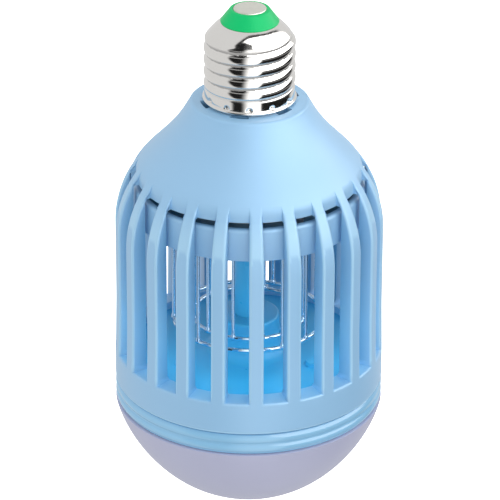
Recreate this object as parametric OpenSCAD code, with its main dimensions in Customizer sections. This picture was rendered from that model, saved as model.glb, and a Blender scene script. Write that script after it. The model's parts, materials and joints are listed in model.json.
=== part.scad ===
// Electric bug zapper bulb: screw cap on top, ribbed grille round two wire cages, lamp below.
// Z is the axis, up towards the cap. Z = 0 is the lower end of the cap's plain skirt.
// The front looks towards -Y, and angles are counted from the front towards +X.

/* [Screw cap] */
// Outer diameter of the rolled thread
thread_d = 26.3; // [26.05:0.05:26.35]
// Root diameter of the rolled thread
thread_root_d = 24.7; // [24.3:0.1:24.9]
// Thread pitch
thread_pitch = 3.629; // [3.6:0.001:3.65]
// Height of the contact's tip above the skirt's lower end
tip_z = 27.75; // [26:0.25:29]
// Diameter of the centre contact
contact_d = 9.5; // [8.5:0.1:10]
// Number of punched stakes round the skirt
stake_count = 12; // [4:1:16]

/* [Body] */
// Outer diameter of the body at the ribs
body_d = 77.8; // [74:0.1:82]
// Length of the body below the cap
body_len = 88.6; // [80:0.1:95]
// Wall thickness
wall = 2.1; // [1.6:0.1:2.6]
// Number of ribs, and of slots between them
rib_count = 22; // [16:1:26]
// Share of the pitch that a slot takes
slot_share = 0.615; // [0.5:0.005:0.7]
// Depth of a rib, from the slot's inner edge to its outer face
rib_depth = 5.4; // [4:0.1:6]
// Height of the slots' lower edge
slot_bottom_z = -78.3; // [-82:0.1:-74]
// Angle of the first rib from the front
rib_phase = 3.3; // [0:0.1:16]

/* [Grid] */
// Ring radius of the outer cage
outer_grid_r = 22.0; // [20:0.1:24]
// Ring radius of the inner cage
inner_grid_r = 16.4; // [14:0.1:18]
// Upright wires in the outer cage
outer_wires = 16; // [8:1:20]
// Upright wires in the inner cage
inner_wires = 12; // [6:1:16]
// Diameter of an upright wire
wire_d = 1.0; // [0.6:0.1:1.4]

/* [Lamp] */
// Depth of the dome below its collar
dome_depth = 31.1; // [26:0.1:36]
// White lamps on the outer ring of the lamp board
lamp_count = 16; // [8:1:20]
// Twist that frees the collar
twist_deg = 34; // [30:1:36]

/* [Hidden] */
$fn = 96;
eps = 0.01;
gap = 0.3;

// Self-tapping screws, their bosses, pilot holes and clearance holes
screw_r = 1.1;
boss_r = 2.4;
pilot_r = 1.15;
screw_hole_r = 1.45;

body_r = body_d / 2;
body_end_z = -body_len;
skirt_flare = 0.3;

// Screw cap
crest_r = thread_d / 2;
root_r = thread_root_d / 2;
shell_bore_r = 11.95;
skirt_r = 12.95;
skirt_top_z = 4.6;
thread_top_z = 17.8;
thread_phase = 130;
shell_top_z = 23.66;
shoulder_foot = [12.95, 17.9];
shell_mouth_r = 7.9;
lip_r = 0.4;
lip_z = 0.5;
contact_r = contact_d / 2;
insulator_base_r = 8.36;

// Shoulder: a Bezier flare from the neck runs into an arc that ends tangent to the body
neck_top_z = -0.4;
shell_foot_z = neck_top_z + 0.08;
neck_r = 18.1;
neck_z = -2.76;
shoulder_arc_r = 32.2;
shoulder_arc_z = -40;
shoulder_join = 45.8;
shoulder_c = body_r - shoulder_arc_r;

// Grille
rib_pitch = 360 / rib_count;
slot_deg = rib_pitch * slot_share;
slot_inner_r = body_r - rib_depth;
recess_r = slot_inner_r - 0.9;
recess_bottom_z = -24.0;
flange_t = 2.2;
flange_z = slot_bottom_z - flange_t;
skirt_bore_r = body_r - 2;
skirt_outer_r = body_r + skirt_flare;

// Carrier and grid
carrier_r = slot_inner_r - 0.15;
carrier_top_z = -26.1;
carrier_bottom_z = -35.8;
plate_top_z = -27.5;
plate_t = 2.0;
plate_bottom_z = plate_top_z - plate_t;
insulator_plate_r = 25.6;
insulator_t = 3.4;
grid_top_z = -26.2;
outer_ring_z = -70.2;
inner_ring_z = -69.4;
ring_wire_r = 0.62;
outer_grid_phase = 26;
inner_grid_phase = -16;
tube_r = 4.2;
tube_bore_r = 2.9;
tube_top_z = -24.4;
pedestal_r = 9;
pedestal_top_z = -68.9;
tube_seat_z = -74;
floor_top_z = flange_z;
floor_t = 2;
floor_r = skirt_bore_r - 0.2;
carrier_screw_r = 28.6;
carrier_screw_angles = [30, 150, 270];
floor_screw_r = slot_inner_r + 1.9;
floor_screw_ribs = [0, 5, 11, 16];

// Driver
board_r = 23.5;
board_top_z = -20.6;
board_t = 1.4;
board_screw_r = 20.4;
board_screw_angles = [90, 210, 330];
lead_r = 0.7;
// where the grid leads leave the board, and the centre of their solder joints on the cages
grid_lead_x = inner_grid_r * cos(45);
grid_lead_z = grid_top_z + 0.9 + wire_d / 2 + 0.1;

// Ultraviolet light
uv_board_z = plate_bottom_z - 1.2;
uv_board_r = insulator_plate_r + 0.4;
uv_count = 6;
uv_size = [5, 3.5, 1.3];

// Lamp
ledge_r = 35.95;
ledge_top_z = -86.6;
ledge_bottom_z = -87.7;
stop_top_z = -83.4;
stop_deg = 3.5;
lug_top_z = -84.2;
lug_bottom_z = ledge_top_z + gap;
lug_deg = 18;
entry_deg = lug_deg + 4;
entry_angle = 60;
spigot_r = ledge_r - 0.25;
spigot_bore_r = 34.1;
collar_top_z = body_end_z - gap;
collar_web_z = collar_top_z - 1.5;
collar_bottom_z = -95.2;
collar_bore_r = 36.7;
collar_r = 38.85;
finger_bead_r = 1.4;
dome_top_z = collar_bottom_z - gap;
dome_level_z = -93.55;
dome_r = 39.5;
dome_span = dome_depth + dome_level_z - dome_top_z;
dome_wall = 1.5;
dome_neck_r = collar_bore_r - gap;
heat_sink_r = 33.6;
heat_sink_top_z = floor_top_z - floor_t;
heat_sink_t = 1.5;
lamp_board_r = 31.5;
lamp_board_t = 1.4;
lamp_board_z = heat_sink_top_z - heat_sink_t - lamp_board_t;
lamp_screw_angles = [60, 180, 300];
lamp_screw_r = 22;
outer_lamp_r = 27.5;
inner_lamp_r = 15.5;
lamp_size = [3.5, 2.8, 0.9];

// ---- Helpers ----

// Point on a cubic Bezier curve
function bezier(a, b, c, d, t) =
    a * pow(1 - t, 3) + 3 * b * pow(1 - t, 2) * t + 3 * c * (1 - t) * pow(t, 2) + d * pow(t, 3);

// Points on an arc about [x, z]
function arc(x, z, r, from, to, steps) =
    [for (i = [0:steps]) let (a = from + (to - from) * i / steps) [x + r * cos(a), z + r * sin(a)]];

// The same outline moved inwards by t, to the right of its direction of travel
function inset(pts, t) =
    [for (i = [0:len(pts) - 1])
        let (a = pts[max(i - 1, 0)], b = pts[min(i + 1, len(pts) - 1)], d = (b - a) / norm(b - a))
        pts[i] + t * [d[1], -d[0]]];

function reverse(pts) = [for (i = [len(pts) - 1:-1:0]) pts[i]];

// Places children at an angle from the front
module at_angle(a) {
    rotate([0, 0, a]) children();
}

// Repeats children evenly round the axis
module around(count, phase = 0) {
    for (i = [0:count - 1]) rotate([0, 0, phase + i * 360 / count]) children();
}

// A sector of a ring between two radii and two heights, centred on the front
module sector(r0, r1, z0, z1, degrees) {
    rotate([0, 0, -90 - degrees / 2])
        rotate_extrude(angle = degrees) translate([r0, z0]) square([r1 - r0, z1 - z0]);
}

module ring(r0, r1, z0, z1) {
    rotate_extrude() translate([r0, z0]) square([r1 - r0, z1 - z0]);
}

// Upright post in front, at a radius
module post(radius, r, z0, z1) {
    translate([0, -radius, z0]) cylinder(r = r, h = z1 - z0);
}

// Round-headed self-tapping screw: head seat at the origin, shank up, cross slot in the head
module screw(length, head_r, head_h) {
    difference() {
        union() {
            cylinder(r = screw_r, h = length);
            translate([0, 0, -head_h * 0.55]) cylinder(r = head_r, h = head_h * 0.55);
            translate([0, 0, -head_h]) cylinder(r1 = head_r * 0.62, r2 = head_r, h = head_h * 0.45);
        }
        for (a = [0, 90]) rotate([0, 0, a])
            translate([-head_r * 0.6, -head_r * 0.11, -head_h - eps])
                cube([head_r * 1.2, head_r * 0.22, head_h * 0.5]);
    }
}

// ---- Screw cap ----

// Shell's rolled shoulder from the thread up to its mouth
function shell_shoulder() =
    concat([[root_r, thread_top_z - 0.6]],
        [for (i = [0:12]) bezier(shoulder_foot, shoulder_foot + [0, 1.4],
            [insulator_base_r + 1.5, shell_top_z - 1.05], [insulator_base_r, shell_top_z - 0.04], i / 12)],
        [[shell_mouth_r, shell_top_z]]);

module screw_shell() {
    color([0.80, 0.80, 0.78]) difference() {
        union() {
            // plain skirt, and the wall behind the thread
            ring(shell_bore_r, skirt_r, lip_z, skirt_top_z);
            ring(shell_bore_r, root_r, skirt_top_z - eps, thread_top_z);
            // rolled thread: an eccentric disc, twisted one turn in each pitch
            translate([0, 0, skirt_top_z - 0.3]) difference() {
                linear_extrude(height = thread_top_z - skirt_top_z + 0.3,
                    twist = -360 * (thread_top_z - skirt_top_z + 0.3) / thread_pitch,
                    slices = 42, $fn = 32)
                    rotate([0, 0, thread_phase])
                        translate([(crest_r - root_r) / 2, 0]) circle(r = (crest_r + root_r) / 2);
                translate([0, 0, -1]) cylinder(r = shell_bore_r, h = thread_top_z);
            }
            // rounded shoulder that closes in to the insulator
            rotate_extrude() polygon(concat(shell_shoulder(), reverse(inset(shell_shoulder(), -0.4))));
            // rolled lip, and the foot that stands on the neck
            translate([0, 0, lip_z]) rotate_extrude()
                translate([skirt_r + 0.18, 0]) circle(r = lip_r, $fn = 32);
            ring(shell_bore_r, skirt_r - 0.35, shell_foot_z, lip_z + eps);
        }
        // stakes punched into the skirt just above the lip
        around(stake_count)
            translate([0, -skirt_r - 0.5, 1.35]) rotate([-90, 0, 0]) cylinder(r1 = 0.75, r2 = 0.25, h = 0.9);
    }
}

module cap_insulator() {
    top_z = tip_z - 0.23;
    color([0.10, 0.76, 0.42]) difference() {
        rotate_extrude() polygon([[0, shell_top_z - 3.6], [7.4, shell_top_z - 3.6], [7.4, shell_top_z - 0.5],
            [7.9, shell_top_z + 0.02], [insulator_base_r, shell_top_z + 0.02],
            [insulator_base_r, shell_top_z + 0.14], [contact_r + 0.99, top_z - 0.15],
            [contact_r + 0.84, top_z], [0, top_z]]);
        // the contact's rivet passes through
        translate([0, 0, shell_top_z - 5]) cylinder(r = 1.4, h = 10);
        // countersunk bed for the contact
        translate([0, 0, tip_z - 1.3]) cylinder(r = contact_r + 0.05, h = 2);
    }
}

module centre_contact() {
    color([0.83, 0.82, 0.80]) union() {
        rotate_extrude() polygon(concat(
            [[0, tip_z - 1.3], [contact_r, tip_z - 1.3], [contact_r, tip_z - 0.45]],
            arc(contact_r - 0.45, tip_z - 0.45, 0.45, 0, 90, 5), [[0, tip_z]]));
        translate([0, 0, shell_top_z - 4.6]) cylinder(r = 1.3, h = 4.6 + tip_z - shell_top_z - 1.2);
    }
}

// ---- Grille housing ----

// Outer face of the body, from the neck's top edge down to the start of the straight side
function shoulder_outline() =
    concat([[12.9, neck_top_z]], arc(16.1, neck_top_z - 1.4, 1.28, 88, 15, 4),
        [for (i = [0:8]) bezier([neck_r, neck_z], [neck_r + 3.5, neck_z - 6.6],
            [shoulder_c + shoulder_arc_r * cos(shoulder_join) - 4.05,
             shoulder_arc_z + shoulder_arc_r * sin(shoulder_join) + 4.25],
            [shoulder_c + shoulder_arc_r * cos(shoulder_join),
             shoulder_arc_z + shoulder_arc_r * sin(shoulder_join)], i / 8)],
        arc(shoulder_c, shoulder_arc_z, shoulder_arc_r, shoulder_join - 4, 0, 10));

// Inner face of the shoulder, from the neck's bore down to the recess wall
function shoulder_lining() =
    [for (p = inset(shoulder_outline(), wall)) if (p[1] < -6 && p[0] < recess_r - wall) p];

module body_section() {
    polygon(concat(
        shoulder_outline(),
        [[body_r, slot_bottom_z + 14], [skirt_outer_r, slot_bottom_z - 1], [skirt_outer_r, body_end_z + 0.9]],
        arc(skirt_outer_r - 0.9, body_end_z + 0.9, 0.9, -15, -90, 4),
        [[skirt_bore_r, body_end_z], [skirt_bore_r, ledge_bottom_z], [ledge_r, ledge_bottom_z],
         [ledge_r, ledge_top_z], [skirt_bore_r, ledge_top_z],
         [skirt_bore_r, flange_z], [slot_inner_r, flange_z],
         [slot_inner_r, recess_bottom_z], [recess_r - wall, recess_bottom_z]],
        reverse(shoulder_lining()),
        [[9.6, -5.2], [9.6, 12.5], [11.6, 12.5], [11.6, neck_top_z]]));
}

module grille_housing() {
    color([0.60, 0.78, 0.91]) difference() {
        union() {
            rotate_extrude() body_section();
            // bosses under the shoulder for the driver board and the carrier
            for (a = board_screw_angles) at_angle(a) post(board_screw_r, boss_r, board_top_z, -10.8);
            for (a = carrier_screw_angles) at_angle(a) post(carrier_screw_r, boss_r, plate_top_z, -19.4);
            // stops for the collar's lugs, on the ledge inside the lower skirt
            for (a = [entry_angle - entry_deg / 2 - stop_deg / 2 - 0.3,
                    entry_angle + twist_deg + entry_deg / 2 + stop_deg / 2])
                around(3, a)
                    sector(ledge_r + 0.1, skirt_bore_r + 0.5, ledge_top_z - 0.5, stop_top_z, stop_deg);
        }
        // entries through the ledge
        around(3, entry_angle)
            sector(ledge_r - 1, skirt_bore_r + 0.1, ledge_bottom_z - 0.1, ledge_top_z + 0.1, entry_deg);
        // slots between the ribs, down from the recess in the shoulder
        around(rib_count, rib_phase + rib_pitch / 2)
            rotate([0, 0, -90 - slot_deg / 2]) rotate_extrude(angle = slot_deg)
                polygon([[recess_r, -16], [body_r + 3, -16], [body_r + 3, slot_bottom_z - 0.5],
                    [slot_inner_r - 1, slot_bottom_z], [slot_inner_r - 1, recess_bottom_z],
                    [recess_r, recess_bottom_z]]);
        // notches in the neck's top, under the cap's lip
        around(6, -12) translate([-2.8, -14.15, neck_top_z - 2.6]) cube([5.6, 1.6, 3]);
        // pilot holes
        for (a = board_screw_angles) at_angle(a) post(board_screw_r, pilot_r, board_top_z - 1, -13.2);
        for (a = carrier_screw_angles) at_angle(a) post(carrier_screw_r, pilot_r, plate_top_z - 1, -20.2);
        for (i = floor_screw_ribs) at_angle(rib_phase + i * rib_pitch)
            post(floor_screw_r, pilot_r, flange_z - 1, flange_z + 9);
    }
}

// ---- Carrier, grid and chamber ----

module grid_carrier() {
    color([0.56, 0.76, 0.90]) difference() {
        union() {
            // band with a rounded top edge, seen behind the top of the slots
            rotate_extrude() polygon(concat(
                [[carrier_r - wall, carrier_bottom_z], [carrier_r, carrier_bottom_z]],
                arc(carrier_r - 0.9, carrier_top_z - 0.9, 0.9, 0, 90, 5),
                [[carrier_r - wall, carrier_top_z]]));
            ring(insulator_plate_r - 2, carrier_r - wall + eps, plate_bottom_z, plate_top_z);
            ring(insulator_plate_r - 2, insulator_plate_r + 1.6, plate_bottom_z, plate_top_z);
        }
        // seat for the insulator plate
        translate([0, 0, plate_top_z - 1]) cylinder(r = insulator_plate_r + 0.1, h = 3);
        for (a = carrier_screw_angles) at_angle(a) 
            post(carrier_screw_r, screw_hole_r, plate_bottom_z - 1, plate_top_z + 1);
    }
}

module carrier_screws() {
    color([0.72, 0.72, 0.72]) for (a = carrier_screw_angles) at_angle(a)
        translate([0, -carrier_screw_r, plate_bottom_z]) screw(9, 2.3, 1.5);
}

module grid_insulator() {
    bottom_z = plate_top_z - 1;
    color([0.93, 0.93, 0.90]) difference() {
        union() {
            translate([0, 0, bottom_z]) cylinder(r = insulator_plate_r, h = 2.4);
            // collar that hangs through the carrier's seat
            translate([0, 0, bottom_z - insulator_t + 1])
                cylinder(r = insulator_plate_r - 2.2, h = insulator_t);
            // ribs that lengthen the leakage path between the cages
            ring(18.6, 19.8, bottom_z + 2.3, bottom_z + 3.6);
            ring(18.6, 19.8, bottom_z - insulator_t - 0.2, bottom_z - 1);
        }
        translate([0, 0, bottom_z - 6]) cylinder(r = tube_r + 0.1, h = 12);
        // holes for the cages' wires
        around(outer_wires, outer_grid_phase)
            post(outer_grid_r, wire_d / 2 + 0.1, bottom_z - 6, bottom_z + 3);
        around(inner_wires, inner_grid_phase)
            post(inner_grid_r, wire_d / 2 + 0.1, bottom_z - 6, bottom_z + 3);
    }
}

// Cage: a ring at the top and bottom, joined by upright wires
module wire_cage(ring_r, count, phase, ring_z) {
    union() {
        translate([0, 0, ring_z]) rotate_extrude() translate([ring_r, 0]) circle(r = ring_wire_r, $fn = 24);
        translate([0, 0, grid_top_z + 0.9]) rotate_extrude()
            translate([ring_r, 0]) circle(r = wire_d / 2 + 0.1, $fn = 24);
        around(count, phase) post(ring_r, wire_d / 2, ring_z, grid_top_z + 0.9);
    }
}

module outer_grid() {
    color([0.78, 0.79, 0.82])
        wire_cage(outer_grid_r, outer_wires, outer_grid_phase, outer_ring_z);
}

module inner_grid() {
    color([0.78, 0.79, 0.82]) wire_cage(inner_grid_r, inner_wires, inner_grid_phase, inner_ring_z);
}

module wire_tube() {
    color([0.25, 0.62, 0.85]) difference() {
        union() {
            translate([0, 0, tube_seat_z]) cylinder(r = tube_r, h = tube_top_z - tube_seat_z);
            translate([0, 0, plate_top_z + 1.4]) cylinder(r = tube_r + 1.4, h = 1.2);
        }
        translate([0, 0, tube_seat_z - 1]) cylinder(r = tube_bore_r, h = tube_top_z - tube_seat_z + 2);
    }
}

module chamber_floor() {
    color([0.30, 0.64, 0.86]) difference() {
        union() {
            translate([0, 0, floor_top_z - floor_t]) cylinder(r = floor_r, h = floor_t);
            // pedestal with a flared foot
            rotate_extrude() polygon(concat(
                [[0, floor_top_z - 0.5], [pedestal_r + 4, floor_top_z - 0.5], [pedestal_r + 4, floor_top_z]],
                arc(pedestal_r + 4.2, floor_top_z + 3.6, 3.6, -95, -165, 6),
                [[pedestal_r, pedestal_top_z - 0.8]],
                arc(pedestal_r - 0.8, pedestal_top_z - 0.8, 0.8, 20, 90, 4), [[0, pedestal_top_z]]));
            // bosses for the lamp's screws
            for (a = lamp_screw_angles)
                at_angle(a) post(lamp_screw_r, boss_r, floor_top_z - 0.5, floor_top_z + 1.2);
        }
        translate([0, 0, tube_seat_z]) cylinder(r = tube_r + 0.1, h = 20);
        translate([0, 0, floor_top_z - 10]) cylinder(r = tube_bore_r, h = 20);
        for (a = lamp_screw_angles)
            at_angle(a) post(lamp_screw_r, pilot_r, floor_top_z - 5, floor_top_z + 0.6);
        for (i = floor_screw_ribs) at_angle(rib_phase + i * rib_pitch)
            post(floor_screw_r, screw_hole_r, floor_top_z - 5, floor_top_z + 2);
    }
}

module floor_screws() {
    color([0.72, 0.72, 0.72]) for (i = floor_screw_ribs) at_angle(rib_phase + i * rib_pitch)
        translate([0, -floor_screw_r, floor_top_z - floor_t]) screw(10.5, 1.5, 1.1);
}

// ---- Ultraviolet light ----

module uv_board() {
    color([0.92, 0.93, 0.90]) difference() {
        around(3, 90) sector(uv_board_r, carrier_r - wall - 0.15, uv_board_z, plate_bottom_z, 94);
        around(6) post(carrier_screw_r, 0.4, uv_board_z - 1, uv_board_z + 0.4);
    }
}

module uv_leds() {
    color([0.72, 0.66, 0.95]) around(uv_count)
        translate([-uv_size[0] / 2, -carrier_screw_r - uv_size[1] / 2, uv_board_z - uv_size[2]])
            difference() {
                cube(uv_size);
                // lens cup
                translate([uv_size[0] / 2, uv_size[1] / 2, -eps]) cylinder(r1 = 1.55, r2 = 1.2, h = 0.5);
            }
}

// ---- Driver ----

module driver_board() {
    color([0.16, 0.42, 0.24]) difference() {
        translate([0, 0, board_top_z - board_t]) cylinder(r = board_r, h = board_t);
        for (a = board_screw_angles)
            at_angle(a) post(board_screw_r, screw_hole_r, board_top_z - 3, board_top_z + 1);
        // openings for the lamp and grid leads
        translate([0, 0, board_top_z - 3]) cylinder(r = 2.6, h = 5);
        for (x = [-1, 1])
            translate([x * grid_lead_x, -grid_lead_x, board_top_z - 3]) cylinder(r = 0.85, h = 5);
    }
}

module board_screws() {
    color([0.72, 0.72, 0.72]) for (a = board_screw_angles) at_angle(a)
        translate([0, -board_screw_r, board_top_z - board_t]) screw(8.2, 2.2, 1.4);
}

// Sits on the board with its lower face at the board's top
module on_board(x, y) {
    translate([x, y, board_top_z]) children();
}

module step_up_transformer() {
    color([0.85, 0.72, 0.22]) on_board(-8.5, 1) union() {
        // ferrite halves round a wound former
        translate([-4.6, -5, 0]) cube([9.2, 10, 1.6]);
        translate([-5, -5.4, 1.6]) cube([10, 2.2, 9]);
        translate([-5, 3.2, 1.6]) cube([10, 2.2, 9]);
        translate([0, 0, 1.5]) cylinder(r = 3.5, h = 9.1);
        translate([-4.2, -3.3, 9.2]) cube([8.4, 6.6, 1.4]);
    }
}

module smoothing_capacitors() {
    color([0.12, 0.13, 0.16]) {
        on_board(8.2, 4.2) difference() {
            cylinder(r = 4, h = 12.4);
            translate([0, 0, 1.4]) rotate_extrude() translate([4.35, 0]) circle(r = 0.6, $fn = 24);
        }
        on_board(3.2, 12.6) difference() {
            cylinder(r = 3.1, h = 8.6);
            translate([0, 0, 1.2]) rotate_extrude() translate([3.4, 0]) circle(r = 0.5, $fn = 24);
        }
    }
}

module film_capacitors() {
    color([0.72, 0.18, 0.10]) for (p = [[-10.5, -9.2], [-4.6, -12.4], [3.4, -12.6]])
        on_board(p[0], p[1]) translate([-2.6, -1.5, 0]) cube([5.2, 3, 6.2]);
}

module diodes() {
    color([0.10, 0.10, 0.11]) for (i = [0:3]) on_board(13.8, -9.4 + 2.9 * i) union() {
        translate([-2.2, 0, 1.25]) rotate([0, 90, 0]) cylinder(r = 1.25, h = 4.4);
        translate([-2.9, 0, 1.25]) rotate([0, 90, 0]) cylinder(r = 0.35, h = 5.8);
        for (x = [-2.9, 2.9]) translate([x, 0, 0]) cylinder(r = 0.35, h = 1.4);
    }
}

module bridge_rectifier() {
    color([0.10, 0.10, 0.11]) on_board(-5.2, 12.4) union() {
        translate([-3.2, -2.4, 0.2]) cube([6.4, 4.8, 2.3]);
        for (x = [-2.2, 2.2], y = [-3.1, 2.3]) translate([x - 0.5, y, 0]) cube([1, 0.8, 0.6]);
    }
}

module driver_chip() {
    color([0.09, 0.09, 0.10]) on_board(5.4, -5.6) union() {
        translate([-2.5, -2, 0.2]) cube([5, 4, 1.5]);
        for (x = [-1.9, -0.65, 0.65, 1.9], y = [-2.7, 1.9]) translate([x - 0.2, y, 0]) cube([0.4, 0.8, 0.5]);
    }
}

// Route with its corners rounded: each inner point becomes a short curve
function rounded(route, size) = concat([route[0]],
    [for (i = [1:len(route) - 2], t = [0:0.25:1])
        let (p = route[i], back = route[i - 1] - p, on = route[i + 1] - p,
            a = p + back * min(0.5, size / norm(back)), b = p + on * min(0.5, size / norm(on)))
        a * pow(1 - t, 2) + 2 * p * t * (1 - t) + b * pow(t, 2)],
    [route[len(route) - 1]]);

// Wire swept along a route that never runs parallel to X
module lead(route, r, sides = 10) {
    path = rounded(route, 2.5);
    last = len(path) - 1;
    rings = [for (i = [0:last])
        let (run = path[min(i + 1, last)] - path[max(i - 1, 0)], across = cross(run, [1, 0, 0]),
            u = across / norm(across), side = cross(run, u), v = side / norm(side))
        for (k = [0:sides - 1]) path[i] + r * (u * cos(360 * k / sides) + v * sin(360 * k / sides))];
    polyhedron(points = rings, faces = concat(
        [[for (k = [0:sides - 1]) k]],
        [[for (k = [sides - 1:-1:0]) last * sides + k]],
        [for (i = [0:last - 1], k = [0:sides - 1])
            let (a = i * sides + k, b = i * sides + (k + 1) % sides) [a, a + sides, b + sides, b]]));
}

// Resistor in line with the live lead, from the contact's rivet down to the board
module fuse_resistor() {
    color([0.25, 0.55, 0.35]) union() {
        translate([0, 0, 3]) cylinder(r = 2.1, h = 8.5);
        translate([0, 0, 11]) cylinder(r = lead_r, h = shell_top_z - 4.6 - 11);
        lead([[0, 0, 3.5], [0, 0, -1], [0.4, -3.4, -9], [0.4, -3.4, board_top_z]], lead_r);
    }
}

// From the shell's wall down through the neck to the board
module neutral_lead() {
    color([0.90, 0.90, 0.88])
        lead([[0, shell_bore_r, 15], [0, 8.2, 14.2], [0, 7.6, -8], [-0.5, 6.6, board_top_z]], lead_r);
}

module outer_grid_lead() {
    end_y = -sqrt(pow(outer_grid_r, 2) - pow(grid_lead_x, 2));
    color([0.78, 0.12, 0.10]) lead([[grid_lead_x, -grid_lead_x, board_top_z + 1.2],
        [grid_lead_x, -grid_lead_x, board_top_z - board_t - 1.2],
        [grid_lead_x, end_y, board_top_z - board_t - 1.4], [grid_lead_x, end_y, grid_lead_z]], lead_r);
}

// Straight down on to the inner cage
module inner_grid_lead() {
    color([0.12, 0.12, 0.13]) translate([-grid_lead_x, -grid_lead_x, grid_lead_z])
        cylinder(r = lead_r, h = board_top_z + 1.2 - grid_lead_z);
}

module lamp_lead(x) {
    translate([x, 0, lamp_board_z]) cylinder(r = lead_r, h = board_top_z + 1.6 - lamp_board_z);
}

module lamp_lead_positive() {
    color([0.80, 0.14, 0.12]) lamp_lead(1.2);
}

module lamp_lead_negative() {
    color([0.93, 0.93, 0.92]) lamp_lead(-1.2);
}

// ---- Lamp ----

module heat_sink() {
    color([0.80, 0.81, 0.82]) difference() {
        union() {
            ring(2.6, heat_sink_r, heat_sink_top_z - heat_sink_t, heat_sink_top_z);
            ring(heat_sink_r - 1.4, heat_sink_r, heat_sink_top_z - 4, heat_sink_top_z);
        }
        for (a = lamp_screw_angles) 
            at_angle(a) post(lamp_screw_r, screw_hole_r, heat_sink_top_z - 5, heat_sink_top_z + 1);
    }
}

module lamp_board() {
    color([0.95, 0.95, 0.94]) difference() {
        translate([0, 0, lamp_board_z]) cylinder(r = lamp_board_r, h = lamp_board_t);
        for (x = [-1.2, 1.2]) translate([x, 0, lamp_board_z - 1]) cylinder(r = lead_r + 0.1, h = 4);
        for (a = lamp_screw_angles) 
            at_angle(a) post(lamp_screw_r, screw_hole_r, lamp_board_z - 1, heat_sink_top_z);
    }
}

module lamp_screws() {
    color([0.72, 0.72, 0.72]) for (a = lamp_screw_angles) at_angle(a)
        translate([0, -lamp_screw_r, lamp_board_z]) screw(5.3, 2.2, 1.4);
}

// White lamp under the lamp board, in front, at a radius
module white_lamp(radius) {
    translate([-lamp_size[0] / 2, -radius - lamp_size[1] / 2, lamp_board_z - lamp_size[2]]) cube(lamp_size);
}

module white_leds() {
    color([0.98, 0.93, 0.62]) {
        around(lamp_count) white_lamp(outer_lamp_r);
        around(lamp_count / 2, 11) white_lamp(inner_lamp_r);
    }
}

module lamp_collar() {
    color([0.66, 0.84, 0.94]) union() {
        rotate_extrude() difference() {
            union() {
                polygon(concat(
                    [[spigot_bore_r, collar_web_z], [collar_bore_r, collar_web_z],
                     [collar_bore_r, collar_bottom_z], [collar_r - 0.35, collar_bottom_z],
                     [collar_r, collar_bottom_z + 0.5], [collar_r, collar_top_z - 0.4],
                     [collar_r - 0.35, collar_top_z], [spigot_r, collar_top_z], [spigot_r, lug_top_z],
                     [spigot_bore_r, lug_top_z]]));
                // two beads for the fingers
                for (z = [collar_top_z - 1.6, collar_top_z - 4.5])
                    translate([collar_r + 0.35 - finger_bead_r, z]) circle(r = finger_bead_r, $fn = 40);
            }
            translate([0, collar_bottom_z - 5]) square([collar_bore_r, 5 + collar_web_z - collar_bottom_z]);
        }
        // bayonet lugs, locked above the skirt's ledges until the collar is twisted
        around(3, entry_angle + twist_deg)
            sector(spigot_r - 0.5, skirt_bore_r - gap, lug_bottom_z, lug_top_z, lug_deg);
    }
}

// Outline of the dome, as a superellipse from just under its top edge to the lowest point.
// t moves it inwards
function dome_outline(t, steps) =
    [for (i = [0:steps])
        let (low = (dome_level_z - dome_top_z) / dome_span, share = low + (1 - low) * sin(90 * i / steps))
        [(dome_r - t) * pow(max(0, 1 - pow(share, 1.45)), 1 / 2.14), dome_level_z - (dome_span - t) * share]];

module diffuser_dome() {
    color([0.80, 0.81, 0.88]) difference() {
        union() {
            rotate_extrude() polygon(concat([[0, dome_top_z]], dome_outline(0, 24)));
            ring(dome_neck_r - dome_wall, dome_neck_r, dome_top_z - 1, collar_web_z - gap);
        }
        rotate_extrude() polygon(concat([[0, collar_web_z + 5], [dome_neck_r - dome_wall, collar_web_z + 5],
            [dome_neck_r - dome_wall, dome_top_z - 0.9]],
            [for (p = dome_outline(dome_wall, 24)) if (p[1] < dome_top_z - 1.2) p]));
    }
}

screw_shell();
cap_insulator();
centre_contact();
grille_housing();
grid_carrier();
carrier_screws();
grid_insulator();
outer_grid();
inner_grid();
wire_tube();
chamber_floor();
floor_screws();
uv_board();
uv_leds();
driver_board();
board_screws();
step_up_transformer();
smoothing_capacitors();
film_capacitors();
diodes();
bridge_rectifier();
driver_chip();
fuse_resistor();
neutral_lead();
outer_grid_lead();
inner_grid_lead();
lamp_lead_positive();
lamp_lead_negative();
heat_sink();
lamp_board();
lamp_screws();
white_leds();
lamp_collar();
diffuser_dome();
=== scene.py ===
"""Looks of the electric bug zapper bulb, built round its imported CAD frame.

Lengths are in millimetres until MM turns them into metres, apart from the camera's and the lights'. Z is
the bulb's axis, the front looks towards -Y, and angles are in degrees, from the front towards +X.
"""
import math

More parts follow.
